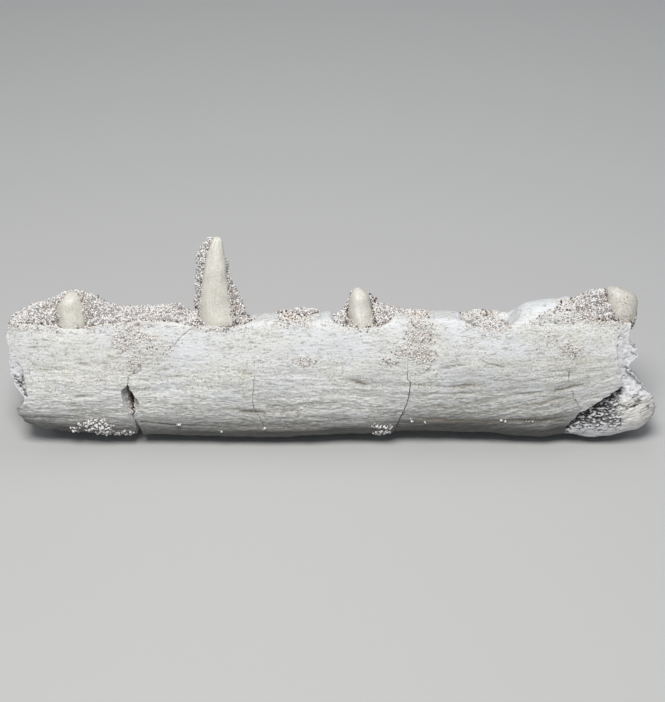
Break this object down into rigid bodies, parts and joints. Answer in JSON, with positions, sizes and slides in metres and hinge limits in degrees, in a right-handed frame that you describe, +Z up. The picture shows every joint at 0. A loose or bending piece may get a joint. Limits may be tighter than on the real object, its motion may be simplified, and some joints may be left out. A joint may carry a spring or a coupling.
{
  "type": "fossil mosasaur jaw section",
  "caption": "Cracked section of fossil mosasaur jaw bone with worn crowns in phosphate sand rock, leaning back on a flat foot of the rock as a display specimen",
  "frame": {"origin": "middle of the part's length and depth, on the surface it rests on", "axes": "+X along the jaw towards the end whose outer wall has broken away; +Y from the jaw's outer face back through its thickness; +Z up, the way the crowns point"},
  "size_m": [0.2524, 0.0396, 0.0761],
  "materials": {
    "bone": "matt, finely fibrous",
    "tooth": "satin enamel",
    "sand_rock": "rough, granular"
  },
  "bodies": {
    "root": {"jaw_bone_left": "bone", "jaw_bone_middle": "bone", "jaw_bone_right": "bone", "tooth_left_stub": "tooth", "tooth_tall": "tooth", "tooth_short": "tooth", "tooth_right_stub": "tooth", "sand_matrix": "sand_rock", "sand_socket_fill": "sand_rock"}
  },
  "joints": []
}
